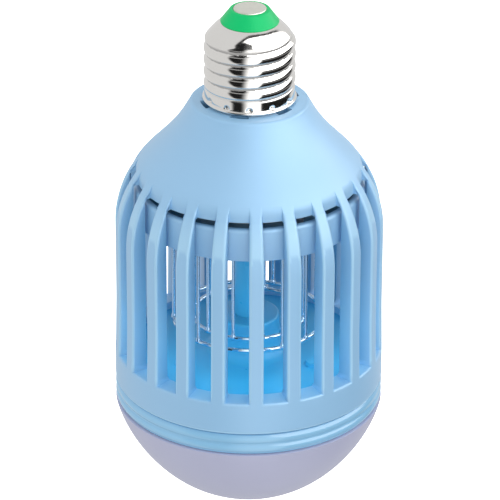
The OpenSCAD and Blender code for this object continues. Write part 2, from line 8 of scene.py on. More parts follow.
import bmesh
import bpy
from mathutils import Matrix, Vector
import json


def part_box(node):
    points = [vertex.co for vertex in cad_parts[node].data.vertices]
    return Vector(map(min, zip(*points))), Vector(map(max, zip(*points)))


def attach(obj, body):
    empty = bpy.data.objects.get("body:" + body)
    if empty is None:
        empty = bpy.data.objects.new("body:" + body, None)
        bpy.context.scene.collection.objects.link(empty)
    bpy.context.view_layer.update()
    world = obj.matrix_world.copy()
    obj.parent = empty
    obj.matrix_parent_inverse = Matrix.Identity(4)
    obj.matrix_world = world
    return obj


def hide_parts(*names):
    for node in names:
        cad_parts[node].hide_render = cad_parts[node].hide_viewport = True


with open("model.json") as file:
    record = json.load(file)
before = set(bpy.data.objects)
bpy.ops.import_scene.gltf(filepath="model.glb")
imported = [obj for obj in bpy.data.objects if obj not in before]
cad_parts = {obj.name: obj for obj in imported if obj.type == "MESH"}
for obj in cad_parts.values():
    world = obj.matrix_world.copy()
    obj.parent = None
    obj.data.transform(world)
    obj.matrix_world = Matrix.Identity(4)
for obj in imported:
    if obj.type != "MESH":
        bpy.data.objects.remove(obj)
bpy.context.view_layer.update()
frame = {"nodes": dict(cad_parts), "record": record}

MM = 0.001
SLOTS = {part["node"]: part["material_slot"] for part in frame["record"]["subparts"]}


# ---- Sizes, from the frame where it gives them ----

def low(node, axis=2):
    """Lowest coordinate of a CAD node, in millimetres."""
    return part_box(node)[0][axis] / MM


def high(node, axis=2):
    """Highest coordinate of a CAD node, in millimetres."""
    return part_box(node)[1][axis] / MM


# Housing
SKIRT_FLARE = 0.3
SKIRT_OUTER_R = high("grille_housing", 0)
SKIRT_FLARE_LENGTH = 15
BODY_R = SKIRT_OUTER_R - SKIRT_FLARE
NECK_TOP_Z = -0.4
NECK_BORE_R = 12.5
NECK_R = 14.4
BODY_END_Z = low("grille_housing")
SPIGOT_TOP_Z = high("grille_housing")
SPIGOT_R = 11.6
SPIGOT_BORE_R = 9.6
LINING_TOP_Z = -6.2
SHOULDER_ARC_R = 32.2
SHOULDER_ARC_Z = -40.0
SHOULDER_C = BODY_R - SHOULDER_ARC_R
SHOULDER_JOIN = 45.8
FLARE_STEPS = 14
WALL = 2.1
RIBS = 22
RIB_PHASE = 3.3
RIB_PITCH = 360 / RIBS
SLOT_SHARE = 0.615
HALF_SLOT = RIB_PITCH * SLOT_SHARE / 2
HALF_RIB = RIB_PITCH / 2 - HALF_SLOT
# the ribs are shallower than the sill under them
SLOT_INNER_R = BODY_R - 5.4
RIB_INNER_R = BODY_R - 4.4
RECESS_R = SLOT_INNER_R - 0.9
VENT_Z = -24.0
SLOT_BOTTOM_Z = -78.3
LEDGE_SLOPE = 0.053
FLANGE_Z = SLOT_BOTTOM_Z - 2.2
SKIRT_BORE_R = BODY_R - 2
SKIRT_LIP_R = 0.9
SKIRT_ROWS_Z = (-81.4, -83.6, -85.7)
RIB_EDGE_R = 0.75
RIB_FOOT_Z = SLOT_BOTTOM_Z + 1.6
NOTCHES = 6
NOTCH_PHASE = -12
NOTCH_SPAN = 22.8
NOTCH_INNER_R = 11.9
NOTCH_OUTER_R = 14.15
NOTCH_BOTTOM_Z = NECK_TOP_Z - 3.6

# Bayonet between the skirt and the lamp's collar
LUGS = 3
LEDGE_R = 35.95
LEDGE_TOP_Z = -86.6
LEDGE_BOTTOM_Z = -87.7
ENTRY_PHASE = 60
ENTRY_SPAN = 22
LUG_PHASE = 94
LUG_SPAN = 18
LUG_R = 36.6
LUG_TOP_Z = -84.2
LUG_BOTTOM_Z = -86.3

# Screw cap
SHELL_TOP_Z = high("screw_shell")
SHELL_BOTTOM_Z = low("screw_shell")
THREAD_PITCH = 3.629
THREAD_PHASE = 205
THREAD_FROM_Z = 3.6
THREAD_END_Z = 20.7
THREAD_ROW = 0.15
CREST_R = 13.15
CREST_POWER = 2.1
ROOT_R = 12.38
SKIRT_R = 12.95
SHELL_WALL = 0.35
SHELL_BORE_R = 11.95
SHELL_MOUTH_R = 7.9
INSULATOR_R = 8.36
STAKES = 12
STAKE_Z = 1.45
STAKE_DEPTH = 0.62
TIP_Z = high("centre_contact")
CONTACT_R = high("centre_contact", 0)
PIN_R = 1.3

# Chamber
BAND_R = high("grid_carrier", 0)
BAND_BORE_R = BAND_R - WALL
BAND_TOP_Z = high("grid_carrier")
BAND_BOTTOM_Z = -35.8
PLATE_TOP_Z = -27.5
PLATE_BOTTOM_Z = -29.5
PLATE_BORE_R = 23.6
SEAT_R = 25.7
FLOOR_Z = low("chamber_floor")
FLOOR_R = high("chamber_floor", 0)
PEDESTAL_TOP_Z = high("chamber_floor")
BOSS_R = 22
BOSS_ANGLES = (60, 180, 300)
TUBE_TOP_Z = high("wire_tube")
TUBE_Z = low("wire_tube")
TUBE_R = 4.2
TUBE_BORE_R = 2.9
TUBE_FLANGE_R = TUBE_R + 1.4
TUBE_FLANGE_TOP_Z = -24.9
TUBE_FLANGE_BOTTOM_Z = -26.1
CAGE_TOP_Z = -25.3
RING_WIRE_R = 0.62
WIRE_R = 0.5
WIRE_SIDES = 14

# Lamp
COLLAR_Z = low("lamp_collar")
COLLAR_TOP_Z = BODY_END_Z - 0.3
COLLAR_R = 38.8
COLLAR_BORE_R = 36.7
COLLAR_SPIGOT_R = 35.7
COLLAR_SPIGOT_BORE_R = 34.1
DOME_TOP_Z = COLLAR_Z - 0.12
DOME_LEVEL_Z = COLLAR_Z + 1.65
DOME_R = 39.5
DOME_FALL_POWER = 1.45
DOME_ROUND_POWER = 2.14
DOME_NECK_R = 36.4
DOME_SPAN = DOME_LEVEL_Z - low("diffuser_dome")
DOME_WALL = 1.5


# ---- Mesh helpers ----

# angle in degrees from which an edge is left sharp
SHARP = 35


def polar(r, z, angle):
    """Point in metres at a radius, a height and an angle from the front."""
    a = math.radians(angle)
    return Vector((r * math.sin(a), -r * math.cos(a), z)) * MM


def arc(x, z, r, start, end, steps):
    """Points on an arc about (x, z)."""
    angles = [math.radians(start + (end - start) * i / steps) for i in range(steps + 1)]
    return [(x + r * math.cos(a), z + r * math.sin(a)) for a in angles]


def bezier(a, b, c, d, steps):
    """Points on a cubic Bezier curve."""
    out = []
    for i in range(steps + 1):
        t = i / steps
        k = ((1 - t) ** 3, 3 * (1 - t) ** 2 * t, 3 * (1 - t) * t * t, t ** 3)
        out.append(tuple(k[0] * p + k[1] * q + k[2] * r + k[3] * s for p, q, r, s in zip(a, b, c, d)))
    return out


def ramp(value, start, end):
    """0 before start, 1 after end and smooth between them."""
    t = min(1.0, max(0.0, (value - start) / (end - start)))
    return t * t * (3 - 2 * t)


def window(value, start, full, fade, end):
    """0 outside start and end, 1 from full to fade and smooth between them."""
    return ramp(value, start, full) * (1 - ramp(value, fade, end))


def curve(points, value):
    """Straight lines through (place, height) points, level beyond the ends."""
    if value <= points[0][0]:
        return points[0][1]
    for (x0, y0), (x1, y1) in zip(points, points[1:]):
        if value <= x1:
            return y0 + (y1 - y0) * (value - x0) / (x1 - x0)
    return points[-1][1]


def rounded(corners, steps=5):
    """A closed outline from corners (r, z, fillet radius), each corner turned into a short curve.

    A curve takes up less than half of the shorter side next to it.
    """
    out = []
    for i, (r, z, fillet) in enumerate(corners):
        here = Vector((r, z))
        if fillet <= 0:
            out.append((r, z))
            continue
        back = Vector(corners[i - 1][:2]) - here
        on = Vector(corners[(i + 1) % len(corners)][:2]) - here
        half = back.angle(on) / 2
        reach = min(fillet / math.tan(half), back.length * 0.48, on.length * 0.48)
        a = here + back.normalized() * reach
        b = here + on.normalized() * reach
        out += bezier(a, a.lerp(here, 0.55), b.lerp(here, 0.55), b, steps)
    return out


class Skin:
    """A mesh whose faces share their corners, each corner given as (radius, height, angle)."""

    def __init__(self):
        self.bm = bmesh.new()
        # the edge mark paints light into the colour: painted highlight on the housing's rounded edges,
        # painted shade with grime in the thread's creases
        self.edge = self.bm.verts.layers.float.new("edge")
        self.known = {}

    def point(self, r, z, angle):
        """The vertex at a corner, made the first time that it is asked for."""
        angle = 0.0 if r < 1e-6 else round(angle, 4) % 360
        key = (round(r, 4), round(z, 4), angle)
        if key not in self.known:
            self.known[key] = self.bm.verts.new(polar(r, z, angle))
        return self.known[key]

    def face(self, *corners):
        """A face between corners, left out where fewer than three differ or where it is there already."""
        verts = []
        for corner in corners:
            v = self.point(*corner)
            if v not in verts:
                verts.append(v)
        if len(verts) > 2 and not self.bm.faces.get(verts):
            self.bm.faces.new(verts)

    def strip(self, rows, closed=False):
        """Quads between rows of the same number of corners."""
        for a, b in zip(rows, rows[1:]):
            count = len(a)
            for i in range(count if closed else count - 1):
                j = (i + 1) % count
                self.face(a[i], a[j], b[j], b[i])

    def lathe(self, outline, count):
        """A closed outline of (r, z) points turned about the axis."""
        angles = [360 * i / count for i in range(count)]
        rows = [[(r, z, a) for a in angles] for r, z in outline]
        self.strip(rows + rows[:1], closed=True)

    def block(self, r0, r1, z0, z1, middle, degrees, steps=6):
        """A closed sector of a ring."""
        angles = [middle + degrees * (i / steps - 0.5) for i in range(steps + 1)]
        corners = [(r0, z0), (r1, z0), (r1, z1), (r0, z1)]
        rows = [[(r, z, a) for a in angles] for r, z in corners]
        self.strip(rows + rows[:1])
        for a in (angles[0], angles[-1]):
            self.face(*[(r, z, a) for r, z in corners])

    def post(self, r, angle, outline, sides):
        """An outline of (radius, z) points turned about an upright axis, r away from the bulb's."""
        centre = polar(r, 0, angle)
        rings = []
        for radius, z in outline:
            ring = []
            for i in range(sides if radius > 0 else 1):
                a = math.tau * i / sides
                spot = Vector((radius * math.cos(a), radius * math.sin(a), z)) * MM
                ring.append(self.bm.verts.new(centre + spot))
            rings.append(ring)
        if len(rings[0]) > 1:
            self.bm.faces.new(rings[0])
        for a, b in zip(rings, rings[1:]):
            for i in range(sides):
                j = (i + 1) % sides
                corners = [a[i % len(a)], a[j % len(a)], b[j % len(b)], b[i % len(b)]]
                self.bm.faces.new(list(dict.fromkeys(corners)))

    def piece(self, name, sharp=SHARP):
        """The finished object, welded, facing outwards and smooth but for edges sharper than an angle."""
        bmesh.ops.remove_doubles(self.bm, verts=self.bm.verts, dist=2e-7)
        bmesh.ops.recalc_face_normals(self.bm, faces=self.bm.faces)
        mesh = bpy.data.meshes.new(name)
        self.bm.to_mesh(mesh)
        self.bm.free()
        mesh.shade_smooth()
        mesh.set_sharp_from_angle(angle=math.radians(sharp))
        made = bpy.data.objects.new(name, mesh)
        bpy.context.scene.collection.objects.link(made)
        return made


def apply_modifiers(piece):
    """Makes the piece's modifiers part of its mesh."""
    bpy.context.view_layer.update()
    evaluated = piece.evaluated_get(bpy.context.evaluated_depsgraph_get())
    mesh = bpy.data.meshes.new_from_object(evaluated)
    piece.modifiers.clear()
    piece.data = mesh


def stand_for(piece, node, body="root"):
    """The piece takes a CAD node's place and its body."""
    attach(piece, body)
    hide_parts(node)
    return piece


# ---- Housing ----

def body_radius(z):
    """Radius of the body's outer face at a height in the shoulder's arc or below it."""
    rise = max(0.0, z - SHOULDER_ARC_Z)
    fall = (SLOT_BOTTOM_Z + SKIRT_FLARE_LENGTH - 1 - z) / SKIRT_FLARE_LENGTH
    flare = SKIRT_FLARE * min(1.0, max(0.0, fall))
    return SHOULDER_C + math.sqrt(SHOULDER_ARC_R ** 2 - rise ** 2) + flare


def recess_radius(z, blend=1.1):
    """Radius of a slot's recessed face, which fades softly into the shoulder."""
    outer = body_radius(z)
    h = min(1.0, max(0.0, 0.5 + (RECESS_R - outer) / (2 * blend)))
    return RECESS_R + (outer - RECESS_R) * h - blend * h * (1 - h)


def ledge_z(r):
    """Height of the sill at the foot of a slot."""
    return SLOT_BOTTOM_Z - LEDGE_SLOPE * (r - SLOT_INNER_R)


def shoulder_outline():
    """Outer face from the neck's rim down to where the slots' recesses start to fade in."""
    join = arc(SHOULDER_C, SHOULDER_ARC_Z, SHOULDER_ARC_R, SHOULDER_JOIN, SHOULDER_JOIN, 1)[0]
    rim = [(NECK_BORE_R, NECK_TOP_Z), (NECK_R, NECK_TOP_Z - 0.03)]
    shoulder = arc(NECK_R + 1.7, NECK_TOP_Z - 1.4, 1.28, 88, 15, 8)
    flare = bezier((18.1, -2.76), (21.6, -9.36), (join[0] - 4.05, join[1] + 4.25), join, FLARE_STEPS)
    return rim + shoulder + flare


def lining_outline():
    """Inner face of the shoulder, from the neck's bore out to the foot of the recess wall."""
    outer = shoulder_outline()[-FLARE_STEPS:] + arc(SHOULDER_C, SHOULDER_ARC_Z, SHOULDER_ARC_R, 43, 31, 6)
    out = []
    for a, b in zip(outer, outer[1:]):
        run = Vector((b[0] - a[0], b[1] - a[1])).normalized()
        out.append((b[0] + WALL * run[1], b[1] - WALL * run[0]))
    return [(r, z) for r, z in out if z < LINING_TOP_Z - 0.3 and r < RECESS_R - WALL - 0.3]


def grille_housing():
    """Moulded body: neck, shoulder, ribs with slots between them, skirt and what lies inside them."""
    skin = Skin()
    face_lines, slot_lines, edge_lines = 6, 8, 5
    thetas = [math.radians(90 * m / edge_lines) for m in range(edge_lines + 1)]
    ribs = [RIB_PHASE + RIB_PITCH * k for k in range(RIBS)]

    def spread_of(edge, r):
        return math.degrees(edge / r)

    def rib_row(middle, r, z, spread=0.0):
        half = HALF_RIB - spread
        return [(r, z, middle + half * (2 * i / face_lines - 1)) for i in range(face_lines + 1)]

    def slot_row(middle, r, z, spread=0.0):
        half = HALF_SLOT + spread
        centre = middle + RIB_PITCH / 2
        return [(r, z, centre + half * (2 * i / slot_lines - 1)) for i in range(slot_lines + 1)]

    def full_row(r, z, spread=0.0):
        row = []
        for middle in ribs:
            row += rib_row(middle, r, z, spread)[:-1] + slot_row(middle, r, z, spread)[:-1]
        return row

    # heights of the rows down a slot, close together in the recess and wider apart down the ribs
    tries = [z / 20 for z in range(-340, -480, -1)]
    fade_z = next(z for z in tries if body_radius(z) - recess_radius(z) > 0.004)
    recess_rows, curved_rows, straight_rows = 14, 12, 14
    recess_zs = [fade_z + (VENT_Z - fade_z) * i / recess_rows for i in range(recess_rows + 1)]
    rib_zs = [VENT_Z - 1.366 * i for i in range(curved_rows + 1)]
    last_z = rib_zs[-1]
    rib_zs += [last_z + (RIB_FOOT_Z - last_z) * i / straight_rows for i in range(1, straight_rows + 1)]
    foot_r = SKIRT_OUTER_R
    sill_z = ledge_z(foot_r - RIB_EDGE_R)
    # rounded edge of the sill, from the skirt's outer face round onto the sill
    sill = [(foot_r - RIB_EDGE_R * (1 - math.cos(t)), sill_z - RIB_EDGE_R * (1 - math.sin(t)),
             spread_of(RIB_EDGE_R * (1 - math.sin(t)), foot_r)) for t in thetas]

    def edge_radius(z):
        depth = body_radius(z) - (recess_radius(z) if z > VENT_Z - 1e-6 else RIB_INNER_R)
        return min(RIB_EDGE_R, 0.85 * max(0.0, depth))

    def edge_row(middle, z, side):
        """Rounded edge of a rib, from its outer face round to its side wall."""
        r, edge = body_radius(z), edge_radius(z)
        return [(r - edge * (1 - math.cos(t)), z,
                 middle + side * (HALF_RIB - spread_of(edge * (1 - math.sin(t)), r))) for t in thetas]

    # shoulder, down to the recesses, and the spigot and lining inside it
    top = [full_row(r, z) for r, z in shoulder_outline()]
    arc_zs = (-17.6, -18.3, -19.0)
    top += [full_row(body_radius(z), z) for z in arc_zs if z > fade_z + 0.2]
    top.append(full_row(body_radius(fade_z), fade_z))
    skin.strip(top, closed=True)
    inner = [(NECK_BORE_R, NECK_TOP_Z), (SPIGOT_R, NECK_TOP_Z), (SPIGOT_R, SPIGOT_TOP_Z)]
    inner += [(SPIGOT_BORE_R, SPIGOT_TOP_Z), (SPIGOT_BORE_R, LINING_TOP_Z)] + lining_outline()
    inner += [(RECESS_R - WALL, VENT_Z + 3.5), (RECESS_R - WALL, VENT_Z), (RECESS_R, VENT_Z)]
    skin.strip([full_row(r, z) for r, z in inner], closed=True)

    outer_zs = recess_zs + rib_zs[1:]
    # where the column of corners over a rib's inner face divides the side walls beside the recess
    wall_r = body_radius(VENT_Z) - edge_radius(VENT_Z)
    share = (wall_r - RIB_INNER_R) / (wall_r - RECESS_R)
    for middle in ribs:
        # outer face of the rib
        rows = [rib_row(middle, body_radius(z), z, spread_of(edge_radius(z), body_radius(z)))
                for z in outer_zs]
        rows.append(rib_row(middle, *sill[0]))
        skin.strip(rows)
        for side in (-1, 1):
            wall = middle + side * HALF_RIB
            # rounded edges, whose last row turns the corner into the sill's rounded edge
            rows = [edge_row(middle, z, side) for z in outer_zs]
            last = [(r, z, middle + side * (HALF_RIB - spread)) for r, z, spread in sill]
            skin.strip(rows + [last])
            # side walls: shallow beside the recess, then right through
            rows = []
            for z in recess_zs:
                a, b = body_radius(z) - edge_radius(z), recess_radius(z)
                rows.append([(a, z, wall), (a + (b - a) * share, z, wall), (b, z, wall)])
            skin.strip(rows)
            rows = [[(body_radius(z) - edge_radius(z), z, wall), (RIB_INNER_R, z, wall)] for z in rib_zs]
            rows.append([(foot_r - RIB_EDGE_R, sill_z, wall), (SLOT_INNER_R, SLOT_BOTTOM_Z, wall)])
            skin.strip(rows)
        # inner face of the rib and the step above it
        rows = [rib_row(middle, RECESS_R, VENT_Z)]
        rows += [rib_row(middle, RIB_INNER_R, z) for z in rib_zs]
        rows.append(rib_row(middle, SLOT_INNER_R, SLOT_BOTTOM_Z))
        skin.strip(rows)
        # recessed face at the head of the slot, and the sill at its foot
        skin.strip([slot_row(middle, recess_radius(z), z) for z in recess_zs])
        rows = [slot_row(middle, *corner) for corner in sill]
        rows.append(slot_row(middle, SLOT_INNER_R, SLOT_BOTTOM_Z))
        skin.strip(rows)

    # skirt, its lip, the bayonet ledge inside it and the flange under the slots
    spread = sill[0][2]
    lip = arc(SKIRT_OUTER_R - SKIRT_LIP_R, BODY_END_Z + SKIRT_LIP_R, SKIRT_LIP_R, 0, -90, 8)
    lip += arc(SKIRT_BORE_R + 0.3, BODY_END_Z + 0.3, 0.3, -90, -180, 3)
    skirt = [sill[0][:2]] + [(SKIRT_OUTER_R, z) for z in SKIRT_ROWS_Z] + lip
    skirt += [(SKIRT_BORE_R, LEDGE_BOTTOM_Z), (LEDGE_R, LEDGE_BOTTOM_Z), (LEDGE_R, LEDGE_TOP_Z)]
    skirt += [(SKIRT_BORE_R, LEDGE_TOP_Z), (SKIRT_BORE_R, FLANGE_Z)]
    rows = [full_row(r, z, spread) for r, z in skirt]
    rows += [full_row(SLOT_INNER_R, FLANGE_Z), full_row(SLOT_INNER_R, SLOT_BOTTOM_Z)]
    skin.strip(rows, closed=True)
    piece = skin.piece("grille_housing_shell")

    # notches in the neck's rim and entries through the bayonet ledge are cut out
    cutters = Skin()
    for k in range(NOTCHES):
        middle = NOTCH_PHASE + 360 / NOTCHES * k
        cutters.block(NOTCH_INNER_R, NOTCH_OUTER_R, NOTCH_BOTTOM_Z, NECK_TOP_Z + 1, middle, NOTCH_SPAN, 8)
    for k in range(LUGS):
        middle = ENTRY_PHASE + 360 / LUGS * k
        cutters.block(LEDGE_R - 1.45, SKIRT_BORE_R + 0.08, LEDGE_BOTTOM_Z - 0.2, LEDGE_TOP_Z + 0.2,
                      middle, ENTRY_SPAN)
    tool = cutters.piece("housing_cutters")
    cut = piece.modifiers.new("cut", "BOOLEAN")
    cut.object = tool
    cut.solver = "EXACT"
    apply_modifiers(piece)
    bpy.data.objects.remove(tool)
    piece.data.set_sharp_from_angle(angle=math.radians(SHARP))
    return stand_for(piece, "grille_housing")


# ---- Screw cap ----

def screw_shell():
    """Pressed shell: foot, bead, staked skirt, rolled thread that fades out at both ends, shoulder."""
    bead_z = 0.5
    base = [(SHELL_BORE_R, SHELL_BOTTOM_Z), (SKIRT_R - 0.38, SHELL_BOTTOM_Z)]
    base.append((SKIRT_R - 0.35, bead_z - 0.38))
    base += arc(SKIRT_R + 0.18, bead_z, 0.4, -140, 70, 12)
    base += [(SKIRT_R + 0.19, bead_z + 0.43), (SKIRT_R + 0.10, bead_z + 0.52)]
    top = bezier((SKIRT_R, 17.9), (SKIRT_R, 19.3), (INSULATOR_R + 1.5, SHELL_TOP_Z - 1.05),
                 (INSULATOR_R, SHELL_TOP_Z - 0.04), 18)
    radii = [(z, r) for r, z in top]
    count = 224
    angles = [360 * i / count for i in range(count)]

    def wall_radius(z, angle):
        """Radius of the wall at a place, and how much painted shade and grime lies there."""
        base_r = curve(radii, z)
        fade = window(z, THREAD_FROM_Z, THREAD_FROM_Z + 1.6, THREAD_END_Z - 2.4, THREAD_END_Z)
        # right-handed: the crest climbs as the angle grows
        turn = (z / THREAD_PITCH - (angle + THREAD_PHASE) / 360) % 1.0
        from_crest = turn if turn < 0.5 else turn - 1
        thread = CREST_R - (CREST_R - ROOT_R) * abs(from_crest * 2) ** CREST_POWER
        r = base_r + (thread - SKIRT_R) * fade
        # painted shade, with some grime, gathers under each crest
        shade_and_grime = ramp(-from_crest, 0.20, 0.34) * fade
        # stakes punched into the skirt
        nearest = (angle + 180 / STAKES) % (360 / STAKES) - 180 / STAKES
        across = math.radians(nearest) * SKIRT_R
        if z < THREAD_FROM_Z - 0.2 and abs(across) < 2:
            reach = 0.42 if z < STAKE_Z else 0.62
            r -= STAKE_DEPTH * math.exp(-(across / 0.5) ** 2 - ((z - STAKE_Z) / reach) ** 2)
        return r, shade_and_grime

    skin = Skin()
    grid = [[(r, z, a) for a in angles] for r, z in base]
    z = bead_z + 0.64
    while z < THREAD_END_Z:
        row = []
        for a in angles:
            r, shade_and_grime = wall_radius(z, a)
            row.append((r, z, a))
            skin.point(r, z, a)[skin.edge] = shade_and_grime
        grid.append(row)
        z += THREAD_ROW
    rest = [(r, h) for r, h in top if h > z] + [(SHELL_MOUTH_R + 0.1, SHELL_TOP_Z)]
    grid += [[(r, h, a) for a in angles] for r, h in rest]
    inside = [(SHELL_MOUTH_R, SHELL_TOP_Z - 0.4)]
    inside += [(r - SHELL_WALL, z - SHELL_WALL) for r, z in reversed(top[3:])]
    inside += [(ROOT_R - SHELL_WALL, 17.5), (SHELL_BORE_R, 17.0)]
    grid += [[(r, z, a) for a in angles] for r, z in inside]
    skin.strip(grid + grid[:1], closed=True)
    return stand_for(skin.piece("screw_shell_pressed", sharp=60), "screw_shell")


def cap_insulator():
    """Cone between the shell's mouth and the contact, bored for the contact's pin."""
    top = TIP_Z - 0.23
    plug_r, plug_z = SHELL_MOUTH_R - 0.5, SHELL_TOP_Z - 3.6
    outline = rounded([
        (PIN_R + 0.1, plug_z, 0), (plug_r, plug_z, 0), (plug_r, SHELL_TOP_Z - 0.45, 0),
        (SHELL_MOUTH_R, SHELL_TOP_Z + 0.02, 0.1), (INSULATOR_R, SHELL_TOP_Z + 0.02, 0.05),
        (INSULATOR_R, SHELL_TOP_Z + 0.14, 0.08), (CONTACT_R + 0.99, top - 0.15, 0.35),
        (CONTACT_R + 0.5, top, 0.2), (CONTACT_R + 0.06, top - 0.05, 0.05),
        (CONTACT_R + 0.05, TIP_Z - 1.3, 0), (PIN_R + 0.1, TIP_Z - 1.3, 0)])
    skin = Skin()
    skin.lathe(outline, 144)
    return stand_for(skin.piece("cap_insulator_cone"), "cap_insulator")


def centre_contact():
    """Disc with a rounded edge, on a pin."""
    pin_z, foot_z = SHELL_TOP_Z - 4.6, TIP_Z - 1.28
    outline = [(0, pin_z), (PIN_R, pin_z), (PIN_R, foot_z), (CONTACT_R, foot_z)]
    outline += arc(CONTACT_R - 0.4, TIP_Z - 0.45, 0.4, 0, 80, 6)
    outline += [(3.2, TIP_Z - 0.03), (2.2, TIP_Z - 0.01), (1.1, TIP_Z), (0, TIP_Z)]
    skin = Skin()
    skin.lathe(outline, 96)
    return stand_for(skin.piece("centre_contact_cap"), "centre_contact")


# ---- Chamber ----

def grid_carrier():
    """Band behind the top of the slots, with a plate that has a seat for the grids' insulator."""
    seat_z = PLATE_TOP_Z - 1
    outline = rounded([
        (BAND_BORE_R, BAND_BOTTOM_Z, 0.25), (BAND_R, BAND_BOTTOM_Z, 0.3), (BAND_R, BAND_TOP_Z, 0.95),
        (BAND_BORE_R, BAND_TOP_Z, 0.3), (BAND_BORE_R, PLATE_TOP_Z, 0.2), (SEAT_R, PLATE_TOP_Z, 0.15),
        (SEAT_R, seat_z, 0), (PLATE_BORE_R, seat_z, 0), (PLATE_BORE_R, PLATE_BOTTOM_Z, 0.15),
        (BAND_BORE_R, PLATE_BOTTOM_Z, 0.2)])
    skin = Skin()
    skin.lathe(outline, 176)
    return stand_for(skin.piece("grid_carrier_band"), "grid_carrier")


def wire_cage(name, node, wires, phase, ring_z):
    """Two rings of wire with upright wires spot-welded to them."""
    ring_r = high(node, 0) - RING_WIRE_R
    skin = Skin()
    skin.lathe(arc(ring_r, ring_z, RING_WIRE_R, 0, 337.5, 15), 144)
    skin.lathe(arc(ring_r, CAGE_TOP_Z, WIRE_R + 0.1, 0, 330, 11), 96)
    # an upright swells into its weld at its foot
    upright = [(0.0, CAGE_TOP_Z + 0.3), (WIRE_R, CAGE_TOP_Z), (WIRE_R, CAGE_TOP_Z - 1)]
    swell = [(0, 2.2), (0.04, 1.4), (0.16, 0.95), (0.38, 0.55), (0.34, -0.1), (0.1, -0.52)]
    upright += [(WIRE_R + wider, ring_z + above) for wider, above in swell]
    upright.append((0.0, ring_z - 0.6))
    for k in range(wires):
        skin.post(ring_r, phase + 360 * k / wires, upright, WIRE_SIDES)
    return stand_for(skin.piece(name, sharp=60), node)


def wire_tube():
    """Sleeve up the middle of the chamber, with a flange under its top end."""
    outline = rounded([
        (TUBE_BORE_R, TUBE_Z, 0), (TUBE_R, TUBE_Z, 0), (TUBE_R, TUBE_FLANGE_BOTTOM_Z, 0.2),
        (TUBE_FLANGE_R, TUBE_FLANGE_BOTTOM_Z, 0.15), (TUBE_FLANGE_R, TUBE_FLANGE_TOP_Z, 0.3),
        (TUBE_R, TUBE_FLANGE_TOP_Z, 0.2), (TUBE_R, TUBE_TOP_Z, 0.2), (TUBE_BORE_R, TUBE_TOP_Z, 0.2)])
    skin = Skin()
    skin.lathe(outline, 96)
    return stand_for(skin.piece("wire_tube_sleeve"), "wire_tube")


def chamber_floor():
    """Floor with a pedestal round the wire tube, which a cove leads up to, and bosses for screws."""
    top = FLOOR_Z + 2
    cove_r, edge_r = 3.6, 0.8
    outline = [(TUBE_BORE_R, FLOOR_Z), (FLOOR_R, FLOOR_Z), (FLOOR_R, top), (14.2, top)]
    outline += arc(13.4, top + cove_r, cove_r, -84, -168, 10)[1:] + [(9.25, top + 6.5)]
    outline += arc(8.2, PEDESTAL_TOP_Z - edge_r, edge_r, 10, 90, 6) + [(TUBE_R + 0.12, PEDESTAL_TOP_Z)]
    outline += [(TUBE_R + 0.12, TUBE_Z), (TUBE_BORE_R, TUBE_Z)]
    skin = Skin()
    skin.lathe(outline, 144)
    # low bosses over the lamp's screws
    boss = [(2.7, -0.3), (2.45, 0.3), (2.4, 0.95), (2.15, 1.2), (0, 1.2)]
    for angle in BOSS_ANGLES:
        skin.post(BOSS_R, angle, [(r, top + rise) for r, rise in boss], 24)
    return stand_for(skin.piece("chamber_floor_tray"), "chamber_floor")


# ---- Lamp ----

def lamp_collar():
    """Ring with two beads under the seam, a spigot that goes up into the skirt and lugs on the spigot."""
    bead_r = COLLAR_R - 1.0
    web_z = COLLAR_TOP_Z - 1.5
    outline = [(COLLAR_SPIGOT_BORE_R, web_z), (COLLAR_BORE_R, web_z), (COLLAR_BORE_R, COLLAR_Z)]
    outline += [(bead_r, COLLAR_Z)] + arc(bead_r + 0.2, COLLAR_Z + 0.75, 0.72, -80, -20, 4)
    for middle in (COLLAR_TOP_Z - 4.45, COLLAR_TOP_Z - 1.6):
        outline += arc(bead_r, middle, 1.4, -50, 50, 12)
        outline.append((COLLAR_R - 0.22, middle + 1.42))
    outline[-1] = (COLLAR_R - 0.3, COLLAR_TOP_Z - 0.18)
    outline += [(COLLAR_R - 0.6, COLLAR_TOP_Z), (COLLAR_SPIGOT_R, COLLAR_TOP_Z)]
    outline += [(COLLAR_SPIGOT_R, LUG_TOP_Z), (COLLAR_SPIGOT_BORE_R, LUG_TOP_Z)]
    skin = Skin()
    skin.lathe(outline, 224)
    for k in range(LUGS):
        middle = LUG_PHASE + 360 / LUGS * k
        skin.block(COLLAR_SPIGOT_R - 0.5, LUG_R, LUG_BOTTOM_Z, LUG_TOP_Z, middle, LUG_SPAN)
    return stand_for(skin.piece("lamp_collar_ring", sharp=50), "lamp_collar", "collar")


def diffuser_dome():
    """Frosted shell with a neck that fits into the collar."""
    def outline(inset, steps):
        """Half of a flattened round, from just under the collar down to the lowest point."""
        start = (DOME_LEVEL_Z - DOME_TOP_Z) / DOME_SPAN
        out = []
        for i in range(steps + 1):
            share = start + (1 - start) * math.sin(math.radians(90 * i / steps))
            across = max(0.0, 1 - share ** DOME_FALL_POWER) ** (1 / DOME_ROUND_POWER)
            r = (DOME_R - inset) * across
            out.append((r, DOME_LEVEL_Z - (DOME_SPAN - inset) * share))
        return out

    neck_top = COLLAR_TOP_Z - 1.8
    bore_r = DOME_NECK_R - DOME_WALL
    outer = outline(0, 40)
    inner = [p for p in outline(DOME_WALL, 40) if p[1] < DOME_TOP_Z - 1.2]
    rim_r = outer[0][0]
    profile = [(bore_r, neck_top), (DOME_NECK_R, neck_top), (DOME_NECK_R, DOME_TOP_Z)]
    profile += [(rim_r - 0.25, DOME_TOP_Z), (rim_r - 0.03, DOME_TOP_Z - 0.12)] + outer[1:]
    profile += list(reversed(inner)) + [(bore_r, DOME_TOP_Z - 0.9)]
    skin = Skin()
    skin.lathe(profile, 176)
    return stand_for(skin.piece("diffuser_dome_frosted"), "diffuser_dome", "dome")


# ---- Materials ----

